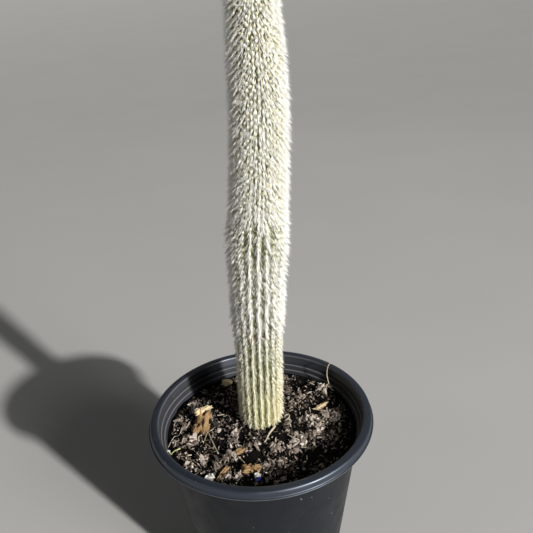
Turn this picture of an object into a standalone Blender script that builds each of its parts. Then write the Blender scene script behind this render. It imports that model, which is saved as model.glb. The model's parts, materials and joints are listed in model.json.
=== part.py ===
"""A silver torch cactus growing in a round plastic nursery pot.

Lengths are in metres and +Z is up. The origin is on the surface that the pot stands on, under
the middle of its foot ring.
"""
import math
import random

import bmesh
import bpy
from mathutils import Matrix, Vector, noise

TAU = 2.0 * math.pi
SEED = 11
GAP = 0.0003                    # clearance between pieces that touch
FOOT_CLEARANCE = 0.0004         # between the stem's foot and its hole

# Pot
POT_HEIGHT = 0.190
POT_SEGMENTS = 48
WALL = 0.0016
FOOT_RADIUS = 0.0655            # outside of the wall where it meets the ground
FOOT_WIDTH = 0.0043             # width of the ring that the pot stands on
FOOT_EDGE = 0.0008              # chamfer round the foot
FLOOR_UNDERSIDE = 0.004
FLOOR_THICKNESS = 0.002
FLOOR_CORNER = 0.002            # chamfer between the floor and the wall, inside
DRAIN_HOLES = 6
DRAIN_RADIUS = 0.0055
DRAIN_CIRCLE = 0.042
DRAIN_SEGMENTS = 10

# Two ledges inside the pot's mouth, which the wall follows outside too
SHOULDER_RADIUS = 0.0894        # outside of the tapered wall at its top
LOWER_LEDGE_DROP = 0.0158       # from the rim down to the lower ledge
UPPER_LEDGE_DROP = 0.0112
LEDGE_WIDTH = 0.0019
LEDGE_FALL = 0.0008             # each ledge slopes down to its inner edge by this
MOUTH_FLARE = 0.0013            # the mouth widens by this from the upper ledge to the rim
SHOULDER_DROP = LOWER_LEDGE_DROP + LEDGE_FALL + WALL

# Rim: a rounded bead on top, a recessed skirt under it and a lip round the skirt's lower edge
RIM_RADIUS = 0.1025             # outer edge of the lip
RIM_MOUTH = 0.0935              # inner edge of the rim
MOUTH_ROUND = (0.0019, 0.0013)  # width and height of the rounding inside the mouth
BEAD_RADIUS = 0.1014
BEAD_ROUND = (0.0035, 0.0023)
SKIRT_RADIUS = 0.1009
SKIRT_FLARE = 0.0003            # the skirt widens by this down to its lip
SKIRT_STEP = 0.0004             # height of the step from the bead in to the skirt
SKIRT_DROP = 0.0072             # from the rim down to the underside of the lip
LIP_HEIGHT = 0.0009
LIP_SLOPE = 0.0006              # height over which the skirt runs out to the lip
LIP_WIDTH = 0.0019
LIP_EDGE = 0.0004
SKIRT_HOLLOW = 0.0020           # height of the groove under the rim, behind the lip

# Potting mix
SOIL_DROP = 0.0192              # from the rim down to the mix at the wall
SOIL_MOUND = 0.0045             # how far it rises against the stem
SOIL_MOUND_REACH = 0.034
SOIL_LUMP = 0.0030
SOIL_LUMP_SIZE = 0.013
LUMP_FADE_WALL = 0.010          # the lumps fade out over this distance from the wall
LUMP_FADE_STEM = 0.008
SOIL_RINGS = 9
CHIP_COUNT = 44
CHIP_ROOM = 0.078               # chips lie within this radius of the pot's axis
CHIP_CLEARANCE = 0.001          # between the chips and the stem's hole
CHIP_REACH = 0.55               # a chip's furthest reach from its middle, in lengths
CHIP_LENGTH = (0.007, 0.016)
CHIP_WIDTH = (0.45, 0.75)       # share of the length
CHIP_THICKNESS = (0.22, 0.40)   # share of the length
CHIP_RISE = (0.0, 0.3)          # middle of the chip above the mix, in thicknesses
CHIP_TILT = 0.5                 # in radians, either way
CHIP_ROLL = 0.4
CHIP_WEAR = (0.62, 1.0)         # how far out each corner of a chip still reaches
LARGE_CHIP_RISE = 0.35

# Chips that stand out: x, y, length, width, thickness, heading and tilt in degrees
LARGE_CHIPS = (
    (-0.0560, 0.0060, 0.024, 0.017, 0.0045, 70.0, 34.0),
    (-0.0670, -0.0150, 0.021, 0.018, 0.0060, 20.0, 22.0),
    (-0.0600, 0.0420, 0.016, 0.012, 0.0050, 120.0, 26.0),
    (-0.0130, -0.0560, 0.015, 0.009, 0.0040, 10.0, 12.0),
    (-0.0450, -0.0600, 0.011, 0.008, 0.0050, 60.0, 15.0),
    (0.0560, 0.0190, 0.016, 0.006, 0.0035, 40.0, 18.0),
    (0.0300, -0.0280, 0.017, 0.011, 0.0050, 150.0, 20.0),
    (0.0440, 0.0480, 0.015, 0.011, 0.0055, 75.0, 24.0),
    (-0.0240, 0.0690, 0.014, 0.009, 0.0050, 35.0, 20.0),
)

# Stem
STEM_Y = 0.010                  # the stem stands a little behind the pot's axis
RIBS = 20
RIB_DEPTH_LOW = 0.0017          # on the old growth
RIB_DEPTH_HIGH = 0.0010         # on the upper stem
RIB_FADE_FOOT = 0.012           # height over which the ribs start below the soil line
RIB_FADE_TOP = 0.080            # height over which they flatten above the growth line
SOIL_LINE = POT_HEIGHT - SOIL_DROP + SOIL_MOUND
FOOT_DEPTH = 0.050              # the stem's foot below the soil line
FOOT_STEPS = (0.7, 0.4, 0.15)   # rings between the foot's tip and the soil line
FOOT_TIP_RADIUS = 0.0130
FOOT_TAPER = 1.6                # the foot narrows slowly at first, then faster
FOOT_FLARE = 0.004              # height over which the foot widens into the stem
HOLE_RADIUS = 0.0188            # the hole in the mix at the soil line
CAP_START = POT_HEIGHT + 0.372  # above this the stem closes as half an ellipsoid
CAP_LENGTH = 0.036
STEM_RINGS = 26
CAP_RINGS = 4

# Radius over the rib crests and sideways lean of the stem, by height above the rim
CREST_RADIUS = (
    (-0.015, 0.0182), (0.070, 0.0184), (0.100, 0.0187), (0.137, 0.0190), (0.162, 0.0205),
    (0.190, 0.0185), (0.225, 0.0179), (0.268, 0.0175), (0.310, 0.0163), (0.340, 0.0144),
    (0.372, 0.0138),
)
STEM_LEAN = (
    (-0.020, 0.0006), (0.0, 0.0008), (0.100, 0.0038), (0.165, 0.0072), (0.225, 0.0120),
    (0.285, 0.0150), (0.345, 0.0142), (0.410, 0.0148),
)

# Spines
SPINE_PITCH = 0.0115            # between the spines of one rib
SPINE_RADIUS = 0.00055
SPINE_ROOT = 0.0013             # depth of a spine's root below the rib crest
SPINE_LENGTH_OLD = 0.0052       # on the old growth at the base
SPINE_LENGTH_NEW = 0.0080
GROWTH_LINE = POT_HEIGHT + 0.086    # height where the old growth ends
GROWTH_BLEND = 0.018
SPINE_DROOP = math.radians(37.0)
DROOP_RANGE = (0.75, 1.2)       # least and greatest share of that droop
SPINE_SPREAD = math.radians(26.0)
FIRST_SPINE = 0.009             # height of the lowest spines above the soil line
CAP_ROWS = 5
CAP_CROWDING = 1.5              # above 1, the rows draw together towards the tip


def clear_scene():
    for item in list(bpy.data.objects):
        bpy.data.objects.remove(item, do_unlink=True)


def make_material(name, color, roughness, metallic=0.0):
    material = bpy.data.materials.new(name)
    material.use_nodes = True
    shader = material.node_tree.nodes["Principled BSDF"]
    shader.inputs["Base Color"].default_value = (*color, 1.0)
    shader.inputs["Roughness"].default_value = roughness
    shader.inputs["Metallic"].default_value = metallic
    return material


def add_object(name, mesh, material=None):
    item = bpy.data.objects.new(name, mesh)
    bpy.context.scene.collection.objects.link(item)
    if material:
        mesh.materials.append(material)
    return item


def mesh_from_bmesh(name, bm):
    bmesh.ops.recalc_face_normals(bm, faces=bm.faces)
    mesh = bpy.data.meshes.new(name)
    bm.to_mesh(mesh)
    bm.free()
    return mesh


def shade_round(item, sharp_degrees):
    item.data.shade_smooth()
    item.data.set_sharp_from_angle(angle=math.radians(sharp_degrees))


def smooth_value(points, x):
    """Value at x on a smooth curve through the (x, value) points, flat beyond its ends."""
    if x <= points[0][0]:
        return points[0][1]
    if x >= points[-1][0]:
        return points[-1][1]
    k = max(i for i in range(len(points) - 1) if points[i][0] <= x)

    def slope(i):
        before = points[max(i - 1, 0)]
        after = points[min(i + 1, len(points) - 1)]
        return (after[1] - before[1]) / (after[0] - before[0])

    (x0, y0), (x1, y1) = points[k], points[k + 1]
    step = x1 - x0
    t = (x - x0) / step
    start = (2 * t**3 - 3 * t**2 + 1) * y0 + (t**3 - 2 * t**2 + t) * step * slope(k)
    end = (3 * t**2 - 2 * t**3) * y1 + (t**3 - t**2) * step * slope(k + 1)
    return start + end


def blend(x, low, high):
    t = min(max((x - low) / (high - low), 0.0), 1.0)
    return t * t * (3.0 - 2.0 * t)


# Pot

def outer_wall(z):
    rise = z / (POT_HEIGHT - SHOULDER_DROP)
    return FOOT_RADIUS + (SHOULDER_RADIUS - FOOT_RADIUS) * rise


def arc(center, size, start, end, steps):
    """Points on a quarter of an ellipse, at angles in degrees from +r towards +z."""
    angles = [math.radians(start + (end - start) * i / steps) for i in range(steps + 1)]
    return [(center[0] + size[0] * math.cos(a), center[1] + size[1] * math.sin(a)) for a in angles]


def pot_section():
    """Half section: along the floor, up the inside, over the rim, down to the foot ring."""
    top = POT_HEIGHT
    floor = FLOOR_UNDERSIDE + FLOOR_THICKNESS
    corner = floor + FLOOR_CORNER
    ledges = [
        (SHOULDER_RADIUS - WALL, top - LOWER_LEDGE_DROP - LEDGE_FALL),
        (SHOULDER_RADIUS - WALL + LEDGE_WIDTH, top - LOWER_LEDGE_DROP),
        (RIM_MOUTH - MOUTH_FLARE - LEDGE_WIDTH, top - UPPER_LEDGE_DROP - LEDGE_FALL),
        (RIM_MOUTH - MOUTH_FLARE, top - UPPER_LEDGE_DROP),
    ]
    inside = [
        (0.0, floor),
        (outer_wall(corner) - WALL - FLOOR_CORNER, floor),
        (outer_wall(corner) - WALL, corner),
        *ledges,
        *arc((RIM_MOUTH + MOUTH_ROUND[0], top - MOUTH_ROUND[1]), MOUTH_ROUND, 180.0, 90.0, 2),
    ]
    lip_top = top - SKIRT_DROP + LIP_HEIGHT
    groove = top - SKIRT_DROP + SKIRT_HOLLOW
    rim = [
        *arc((BEAD_RADIUS - BEAD_ROUND[0], top - BEAD_ROUND[1]), BEAD_ROUND, 90.0, 0.0, 3),
        (SKIRT_RADIUS, top - BEAD_ROUND[1] - SKIRT_STEP),
        (SKIRT_RADIUS + SKIRT_FLARE, lip_top + LIP_SLOPE),
        (RIM_RADIUS, lip_top),
        (RIM_RADIUS, lip_top - LIP_SLOPE),
        (RIM_RADIUS - LIP_EDGE, top - SKIRT_DROP),
        (RIM_RADIUS - LIP_WIDTH, top - SKIRT_DROP),
        (RIM_RADIUS - LIP_WIDTH - LIP_EDGE, groove),
        (RIM_MOUTH + WALL, groove),
    ]
    outside = [
        *[(r + WALL, z - WALL) for r, z in reversed(ledges)],
        (FOOT_RADIUS, FOOT_EDGE),
        (FOOT_RADIUS - FOOT_EDGE, 0.0),
        (FOOT_RADIUS - FOOT_WIDTH, 0.0),
        (FOOT_RADIUS - FOOT_WIDTH - FOOT_EDGE, FLOOR_UNDERSIDE),
        (0.0, FLOOR_UNDERSIDE),
    ]
    return inside + rim + outside


def turned_mesh(name, section, segments):
    """Turn a half section, which starts and ends on the axis, into a closed round body."""
    bm = bmesh.new()
    verts = [bm.verts.new((r, 0.0, z)) for r, z in section]
    edges = [bm.edges.new(pair) for pair in zip(verts, verts[1:])]
    bmesh.ops.spin(bm, geom=verts + edges, cent=(0.0, 0.0, 0.0), axis=(0.0, 0.0, 1.0),
                   angle=TAU, steps=segments, use_merge=True)
    bmesh.ops.remove_doubles(bm, verts=bm.verts, dist=1e-6)
    return mesh_from_bmesh(name, bm)


def add_drain_cutter():
    """Short rods through the pot's floor, where the water runs out."""
    bm = bmesh.new()
    for i in range(DRAIN_HOLES):
        angle = TAU * (i + 0.5) / DRAIN_HOLES
        place = Matrix.Translation((DRAIN_CIRCLE * math.cos(angle), DRAIN_CIRCLE * math.sin(angle),
                                    FLOOR_UNDERSIDE + FLOOR_THICKNESS / 2))
        bmesh.ops.create_cone(bm, cap_ends=True, segments=DRAIN_SEGMENTS, radius1=DRAIN_RADIUS,
                              radius2=DRAIN_RADIUS, depth=2 * FLOOR_THICKNESS, matrix=place)
    cutter = add_object("drain_cutter", mesh_from_bmesh("drain_cutter", bm))
    cutter.hide_render = True
    cutter.display_type = "WIRE"
    return cutter


def add_pot(material):
    pot = add_object("pot", turned_mesh("pot", pot_section(), POT_SEGMENTS), material)
    cut = pot.modifiers.new("drain holes", "BOOLEAN")
    cut.operation = "DIFFERENCE"
    cut.object = add_drain_cutter()
    cut.solver = "EXACT"
    shade_round(pot, 35.0)
    return pot


# Potting mix

def stem_axis(z):
    return Vector((smooth_value(STEM_LEAN, z - POT_HEIGHT), STEM_Y, z))


def from_stem_axis(x, y):
    foot = stem_axis(SOIL_LINE)
    return math.hypot(x - foot.x, y - foot.y)


def hole_radius(z):
    """The hole narrows from the soil line to its bottom, as the stem's foot does."""
    down = (SOIL_LINE - z) / FOOT_DEPTH
    bottom = FOOT_TIP_RADIUS + FOOT_CLEARANCE
    return HOLE_RADIUS + (bottom - HOLE_RADIUS) * max(down, 0.0) ** FOOT_TAPER


def soil_height(x, y):
    """Top of the mix: low at the wall, mounded against the stem and lumpy between them."""
    edge = outer_wall(POT_HEIGHT - SOIL_DROP) - WALL
    from_stem = max(from_stem_axis(x, y) - HOLE_RADIUS, 0.0)
    from_wall = edge - math.hypot(x, y)
    mound = SOIL_MOUND * math.exp(-((from_stem / SOIL_MOUND_REACH) ** 2))
    lumps = SOIL_LUMP * noise.noise(Vector((x, y, 0.0)) / SOIL_LUMP_SIZE)
    lumps *= blend(from_wall, 0.0, LUMP_FADE_WALL) * blend(from_stem, 0.0, LUMP_FADE_STEM)
    return POT_HEIGHT - SOIL_DROP + mound + lumps


def soil_mesh():
    """A plug that fills the pot, with a lumpy top and a plain blind hole for the stem."""
    bm = bmesh.new()
    angles = [TAU * i / POT_SEGMENTS for i in range(POT_SEGMENTS)]
    inset = WALL + GAP / math.cos(math.pi / POT_SEGMENTS)
    loops = []

    def add_ring(center, radius, z):
        loops.append([bm.verts.new((center.x + radius * math.cos(a),
                                    center.y + radius * math.sin(a), z)) for a in angles])

    pit = SOIL_LINE - FOOT_DEPTH
    add_ring(stem_axis(pit), hole_radius(pit), pit - GAP)
    for down in FOOT_STEPS:
        z = SOIL_LINE - FOOT_DEPTH * down
        add_ring(stem_axis(z), hole_radius(z), z)

    stem = stem_axis(SOIL_LINE)
    wall_radius = outer_wall(POT_HEIGHT - SOIL_DROP) - inset
    for i in range(SOIL_RINGS + 1):
        t = i / SOIL_RINGS
        radius = (1 - t) * HOLE_RADIUS + t * wall_radius
        top = [((1 - t) * stem.x + radius * math.cos(a), (1 - t) * stem.y + radius * math.sin(a))
               for a in angles]
        loops.append([bm.verts.new((x, y, soil_height(x, y))) for x, y in top])

    bottom = FLOOR_UNDERSIDE + FLOOR_THICKNESS + GAP
    corner_radius = outer_wall(bottom + FLOOR_CORNER) - inset
    add_ring(Vector(), corner_radius, bottom + FLOOR_CORNER)
    add_ring(Vector(), corner_radius - FLOOR_CORNER, bottom)

    for low, high in zip(loops, loops[1:]):
        for i in range(POT_SEGMENTS):
            j = (i + 1) % POT_SEGMENTS
            bm.faces.new((low[i], low[j], high[j], high[i]))
    bm.faces.new(loops[0])
    bm.faces.new(loops[-1])
    return mesh_from_bmesh("soil", bm)


def chip_object(name, center, size, turn, rng):
    """A splinter of bark: the hull of a few points spread over a flat block."""
    bm = bmesh.new()
    for sx, sy, sz in ((-1, -1, -1), (-1, 1, -1), (1, -1, -1), (1, 1, -1),
                       (-1, -1, 1), (-1, 1, 1), (1, -1, 1), (1, 1, 1)):
        corner = Vector((sx * size[0], sy * size[1], sz * size[2])) / 2.0
        corner *= rng.uniform(*CHIP_WEAR)
        bm.verts.new(center + turn @ corner)
    hull = bmesh.ops.convex_hull(bm, input=bm.verts)
    loose = {v for v in hull["geom_interior"] if isinstance(v, bmesh.types.BMVert)}
    bmesh.ops.delete(bm, geom=list(loose), context="VERTS")
    bmesh.ops.triangulate(bm, faces=bm.faces)
    return add_object(name, mesh_from_bmesh(name, bm))


def chip_turn(heading, tilt, roll):
    return (Matrix.Rotation(heading, 3, "Z") @ Matrix.Rotation(tilt, 3, "Y")
            @ Matrix.Rotation(roll, 3, "X"))


def add_chips(rng):
    chips = []
    for x, y, length, width, thickness, heading, tilt in LARGE_CHIPS:
        center = Vector((x, y, soil_height(x, y) + thickness * LARGE_CHIP_RISE))
        turn = chip_turn(math.radians(heading), math.radians(tilt), math.radians(tilt) / 2)
        chips.append(chip_object("chip", center, (length, width, thickness), turn, rng))
    while len(chips) < CHIP_COUNT:
        radius = math.sqrt(rng.uniform(0.0, 1.0)) * CHIP_ROOM
        angle = rng.uniform(0.0, TAU)
        x = radius * math.cos(angle)
        y = radius * math.sin(angle)
        length = rng.uniform(*CHIP_LENGTH)
        if from_stem_axis(x, y) < HOLE_RADIUS + length * CHIP_REACH + CHIP_CLEARANCE:
            continue
        size = (length, length * rng.uniform(*CHIP_WIDTH), length * rng.uniform(*CHIP_THICKNESS))
        center = Vector((x, y, soil_height(x, y) + size[2] * rng.uniform(*CHIP_RISE)))
        turn = chip_turn(rng.uniform(0.0, TAU), rng.uniform(-CHIP_TILT, CHIP_TILT),
                         rng.uniform(-CHIP_ROLL, CHIP_ROLL))
        chips.append(chip_object("chip", center, size, turn, rng))
    return chips


def fuse(base, pieces):
    """Join the pieces to the base in one Boolean union, then drop them."""
    group = bpy.data.collections.new("repeats")
    for piece in pieces:
        group.objects.link(piece)
    union = base.modifiers.new("fuse", "BOOLEAN")
    union.operation = "UNION"
    union.operand_type = "COLLECTION"
    union.collection = group
    union.solver = "MANIFOLD"
    graph = bpy.context.evaluated_depsgraph_get()
    fused = bpy.data.meshes.new_from_object(base.evaluated_get(graph))
    base.modifiers.remove(union)
    base.data = fused
    for piece in pieces:
        bpy.data.objects.remove(piece, do_unlink=True)
    bpy.data.collections.remove(group)


def add_soil(material, rng):
    soil = add_object("soil", soil_mesh(), material)
    fuse(soil, add_chips(rng))
    return soil


# Cactus

def crest_radius(z):
    """Radius over the rib crests, from the foot in the soil to the rounded tip."""
    if z < SOIL_LINE:
        return hole_radius(z) - FOOT_CLEARANCE
    if z > CAP_START:
        along = min((z - CAP_START) / CAP_LENGTH, 1.0)
        return CREST_RADIUS[-1][1] * math.sqrt(1.0 - along * along)
    from_soil = blend(z, SOIL_LINE, SOIL_LINE + FOOT_FLARE)
    at_soil = HOLE_RADIUS - FOOT_CLEARANCE
    return at_soil + (smooth_value(CREST_RADIUS, z - POT_HEIGHT) - at_soil) * from_soil


def rib_depth(z):
    low = blend(z, SOIL_LINE - RIB_FADE_FOOT, SOIL_LINE)
    high = blend(z, GROWTH_LINE, GROWTH_LINE + RIB_FADE_TOP)
    depth = RIB_DEPTH_LOW + (RIB_DEPTH_HIGH - RIB_DEPTH_LOW) * high
    return depth * low * min(crest_radius(z) / CREST_RADIUS[-1][1], 1.0)


def stem_heights():
    foot = [SOIL_LINE - FOOT_DEPTH * down for down in (1.0, *FOOT_STEPS)]
    side = [SOIL_LINE + (CAP_START - SOIL_LINE) * i / STEM_RINGS for i in range(STEM_RINGS + 1)]
    cap = [CAP_START + CAP_LENGTH * math.sin(math.pi / 2 * i / (CAP_RINGS + 1))
           for i in range(1, CAP_RINGS + 1)]
    return foot + side + cap


def stem_mesh():
    """The ribbed column, closed by a flat foot below and a rounded tip above."""
    bm = bmesh.new()
    loops = []
    for z in stem_heights():
        axis = stem_axis(z)
        crest = crest_radius(z)
        ring = []
        for i in range(2 * RIBS):
            radius = crest - rib_depth(z) * (i % 2)
            angle = TAU * i / (2 * RIBS)
            ring.append(bm.verts.new(axis + Vector((math.cos(angle), math.sin(angle), 0.0)) * radius))
        loops.append(ring)
    for low, high in zip(loops, loops[1:]):
        for i in range(2 * RIBS):
            j = (i + 1) % (2 * RIBS)
            bm.faces.new((low[i], low[j], high[j], high[i]))
    bm.faces.new(loops[0])
    tip = bm.verts.new(stem_axis(CAP_START + CAP_LENGTH))
    for i in range(2 * RIBS):
        bm.faces.new((loops[-1][i], loops[-1][(i + 1) % (2 * RIBS)], tip))
    bmesh.ops.triangulate(bm, faces=bm.faces)
    return mesh_from_bmesh("cactus", bm)


def spine_object(root, direction, length):
    """One three-sided spine: a slim pyramid with its base inside the stem."""
    side = direction.orthogonal().normalized()
    other = direction.cross(side)
    corners = [root + (side * math.cos(a) + other * math.sin(a)) * SPINE_RADIUS
               for a in (0.0, TAU / 3, 2 * TAU / 3)]
    mesh = bpy.data.meshes.new("spine")
    mesh.from_pydata([*corners, root + direction * length], [],
                     [(0, 2, 1), (0, 1, 3), (1, 2, 3), (2, 0, 3)])
    return add_object("spine", mesh)


def add_spine(z, angle, rng):
    """A spine from a rib crest: out and down on the sides, straight out over the tip."""
    rise = min(max((z - CAP_START) / CAP_LENGTH, 0.0), 1.0)
    flat = math.sqrt(1.0 - rise * rise)
    normal_up = math.atan2(rise * CREST_RADIUS[-1][1], flat * CAP_LENGTH)
    outward = Vector((math.cos(angle), math.sin(angle), 0.0))
    normal = outward * math.cos(normal_up) + Vector((0.0, 0.0, math.sin(normal_up)))
    down = outward * math.sin(normal_up) - Vector((0.0, 0.0, math.cos(normal_up)))
    across = normal.cross(down)
    droop = SPINE_DROOP * (1.0 - rise ** CAP_CROWDING) * rng.uniform(*DROOP_RANGE)
    spread = SPINE_SPREAD * rng.uniform(-1.0, 1.0)
    direction = normal * math.cos(droop) + down * math.sin(droop)
    direction = (direction * math.cos(spread) + across * math.sin(spread)).normalized()
    grown = blend(z, GROWTH_LINE - GROWTH_BLEND, GROWTH_LINE + GROWTH_BLEND)
    length = SPINE_LENGTH_OLD + (SPINE_LENGTH_NEW - SPINE_LENGTH_OLD) * grown
    root = stem_axis(z) + outward * crest_radius(z) - normal * SPINE_ROOT
    return spine_object(root, direction, SPINE_ROOT + length)


def add_spines(rng):
    spines = []
    first = SOIL_LINE + FIRST_SPINE
    rows = int((CAP_START - first) / SPINE_PITCH)
    for row in range(rows):
        for rib in range(RIBS):
            z = first + SPINE_PITCH * (row + 0.5 * (rib % 2))
            spines.append(add_spine(z, TAU * rib / RIBS, rng))
    for row in range(CAP_ROWS):
        rise = 1.0 - (1.0 - (row + 0.5) / CAP_ROWS) ** CAP_CROWDING
        count = round(RIBS * math.sqrt(1.0 - rise * rise))
        for k in range(count):
            angle = TAU * (k + 0.5 * (row % 2)) / count
            spines.append(add_spine(CAP_START + CAP_LENGTH * rise, angle, rng))
    spines.append(add_spine(CAP_START + CAP_LENGTH, 0.0, rng))
    return spines


def add_cactus(material, rng):
    cactus = add_object("cactus", stem_mesh(), material)
    fuse(cactus, add_spines(rng))
    return cactus


def main():
    clear_scene()
    rng = random.Random(SEED)
    add_pot(make_material("pot plastic", (0.030, 0.032, 0.037), 0.42))
    add_soil(make_material("potting mix", (0.022, 0.016, 0.012), 0.95), rng)
    add_cactus(make_material("silver cactus", (0.52, 0.54, 0.38), 0.80), rng)


main()
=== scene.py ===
import json
import math
import random

import bmesh
import bpy
from mathutils import Euler, Matrix, Vector, noise

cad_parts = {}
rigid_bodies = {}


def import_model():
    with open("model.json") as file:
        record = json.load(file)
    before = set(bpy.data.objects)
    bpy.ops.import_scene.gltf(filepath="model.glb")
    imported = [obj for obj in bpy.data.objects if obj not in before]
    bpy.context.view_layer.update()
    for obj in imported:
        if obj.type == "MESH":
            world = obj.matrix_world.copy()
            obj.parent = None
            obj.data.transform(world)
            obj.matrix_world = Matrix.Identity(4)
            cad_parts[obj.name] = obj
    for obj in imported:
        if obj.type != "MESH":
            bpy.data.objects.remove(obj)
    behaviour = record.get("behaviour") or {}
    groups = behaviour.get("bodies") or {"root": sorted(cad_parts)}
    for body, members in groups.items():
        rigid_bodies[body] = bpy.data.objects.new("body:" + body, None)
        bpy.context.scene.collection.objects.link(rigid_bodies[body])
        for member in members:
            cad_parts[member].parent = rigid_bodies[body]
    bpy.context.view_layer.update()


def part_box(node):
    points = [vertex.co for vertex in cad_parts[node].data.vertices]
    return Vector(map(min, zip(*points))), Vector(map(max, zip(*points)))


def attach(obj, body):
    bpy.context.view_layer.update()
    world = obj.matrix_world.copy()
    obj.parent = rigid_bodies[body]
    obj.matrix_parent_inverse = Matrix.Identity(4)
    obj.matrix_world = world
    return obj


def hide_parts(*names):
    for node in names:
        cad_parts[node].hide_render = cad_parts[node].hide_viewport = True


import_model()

noise.seed_set(7)
fullTurn = 2 * math.pi
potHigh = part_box("pot")[1]
rimHeight = potHigh.z


# Node helpers: a Wire is the output of a node, and adds and multiplies like a number

class Wire:
    def __init__(self, socket):
        self.socket = socket
        self.tree = socket.id_data


def plug(value, target):
    if isinstance(value, Wire):
        target.id_data.links.new(value.socket, target)
    else:
        target.default_value = (*value, 1.0) if target.type == "RGBA" else value


def node(kind, inputs, tree=None, **settings):
    tree = tree or next(value.tree for value in inputs.values() if isinstance(value, Wire))
    made = tree.nodes.new(kind)
    for setting, value in settings.items():
        setattr(made, setting, value)
    for key, value in inputs.items():
        plug(value, made.inputs[key])
    return made


def wire(kind, inputs, output=0, tree=None, **settings):
    return Wire(node(kind, inputs, tree, **settings).outputs[output])


def calc(operation, *values):
    return wire("ShaderNodeMath", dict(enumerate(values)), operation=operation)


def vec(operation, *values):
    keys = [0, "Scale"] if operation == "SCALE" else range(len(values))
    output = "Value" if operation in ("LENGTH", "DISTANCE") else "Vector"
    return wire("ShaderNodeVectorMath", dict(zip(keys, values)), output, operation=operation)


def addOperator(sign, operation):
    setattr(Wire, f"__{sign}__", lambda self, other: calc(operation, self, other))
    setattr(Wire, f"__r{sign}__", lambda self, other: calc(operation, other, self))


for sign, operation in (("add", "ADD"), ("sub", "SUBTRACT"), ("mul", "MULTIPLY"),
                        ("truediv", "DIVIDE"), ("pow", "POWER")):
    addOperator(sign, operation)


def ease(value, low, high, start=0.0, end=1.0):
    # goes smoothly from start to end while value goes from low to high
    return wire("ShaderNodeMapRange", {
        "Value": value, "From Min": low, "From Max": high, "To Min": start, "To Max": end},
        interpolation_type="SMOOTHSTEP")


def parts(vector):
    return [Wire(output) for output in node("ShaderNodeSeparateXYZ", {0: vector}).outputs]


def joined(x, y, z):
    return wire("ShaderNodeCombineXYZ", {0: x, 1: y, 2: z})


def total(*pairs):
    # the sum of vectors, each times its own number
    result, *others = [vec("SCALE", vector, amount) for vector, amount in pairs]
    for other in others:
        result = vec("ADD", result, other)
    return result


# Geometry Nodes helpers

socketKinds = {
    float: "Float", int: "Int", tuple: "Vector", bpy.types.Material: "Material",
    bpy.types.Collection: "Collection", bpy.types.Object: "Object",
}


def grown(name, mesh, build, values):
    # a piece whose plain mesh is what a tree, with a named input for each value, makes of a mesh
    piece = addPiece(name, mesh)
    tree = bpy.data.node_groups.new(build.__name__, "GeometryNodeTree")

    def addSocket(label, way, kind):
        return tree.interface.new_socket(label, in_out=way, socket_type=f"NodeSocket{kind}").identifier

    addSocket("geometry", "OUTPUT", "Geometry")
    addSocket("geometry", "INPUT", "Geometry")
    sockets = {label: addSocket(label, "INPUT", socketKinds[type(value)])
               for label, value in values.items()}
    entry = tree.nodes.new("NodeGroupInput")
    given = {output.name: Wire(output) for output in entry.outputs if output.name}
    plug(build(**given), tree.nodes.new("NodeGroupOutput").inputs[0])
    modifier = piece.modifiers.new(tree.name, "NODES")
    modifier.node_group = tree
    for label, value in values.items():
        modifier[sockets[label]] = value
    return settle(piece)


def draw(low, high, seed):
    return wire("FunctionNodeRandomValue", {2: low, 3: high, "Seed": seed}, 1, data_type="FLOAT")


def position(geometry):
    return wire("GeometryNodeInputPosition", {}, tree=geometry.tree)


def reading(geometry, name, kind="FLOAT"):
    return wire("GeometryNodeInputNamedAttribute", {"Name": name}, tree=geometry.tree, data_type=kind)


def pointsOf(geometry):
    return wire("GeometryNodeMeshToPoints", {"Mesh": geometry})


def shifted(geometry, offset):
    return wire("GeometryNodeSetPosition", {"Geometry": geometry, "Offset": offset})


def shapeOf(shape):
    return wire("GeometryNodeObjectInfo", {"Object": shape}, "Geometry")


def facing(ahead, side):
    # the rotation that turns Z ahead and X to the side
    return wire("FunctionNodeAxesToRotation", {"Primary Axis": ahead, "Secondary Axis": side},
                primary_axis="Z", secondary_axis="X")


def finished(geometry, label, value, domain, material):
    # keeps one value for the material, and ends a tree
    kept = wire("GeometryNodeStoreNamedAttribute", {"Geometry": geometry, "Name": label, "Value": value},
                domain=domain, data_type="FLOAT")
    real = wire("GeometryNodeRealizeInstances", {0: kept})
    return wire("GeometryNodeSetMaterial", {"Geometry": real, "Material": material})


def copied(points, shape, turn, size, tint, material, pick=False):
    # a copy of the shape, or with pick one of several shapes, on each point
    placed = wire("GeometryNodeInstanceOnPoints", {
        "Points": points, "Instance": shape, "Pick Instance": pick, "Rotation": turn, "Scale": size})
    return finished(placed, "tint", tint, "INSTANCE", material)


def settle(piece):
    bpy.context.view_layer.update()
    graph = bpy.context.evaluated_depsgraph_get()
    plain = bpy.data.meshes.new_from_object(piece.evaluated_get(graph), preserve_all_data_layers=True,
                                            depsgraph=graph)
    piece.modifiers.clear()
    piece.data = plain
    return piece


# Mesh helpers

def meshFrom(name, bm, outwards=True):
    if outwards:
        bmesh.ops.recalc_face_normals(bm, faces=bm.faces)
    mesh = bpy.data.meshes.new(name)
    bm.to_mesh(mesh)
    bm.free()
    mesh.shade_smooth()
    return mesh


def addSides(bm, loops):
    # joins each ring of corners to the next; a ring of one corner is a point
    for low, high in zip(loops, loops[1:]):
        count = max(len(low), len(high))
        for i in range(count):
            j = (i + 1) % count
            corners = (low[i % len(low)], low[j % len(low)], high[j % len(high)], high[i % len(high)])
            bm.faces.new(tuple(dict.fromkeys(corners)))


def addPiece(name, data, material=None):
    piece = bpy.data.objects.new(name, data)
    bpy.context.scene.collection.objects.link(piece)
    if material:
        data.materials.append(material)
    return piece


def discard(*pieces):
    for piece in pieces:
        bpy.data.objects.remove(piece, do_unlink=True)


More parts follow.
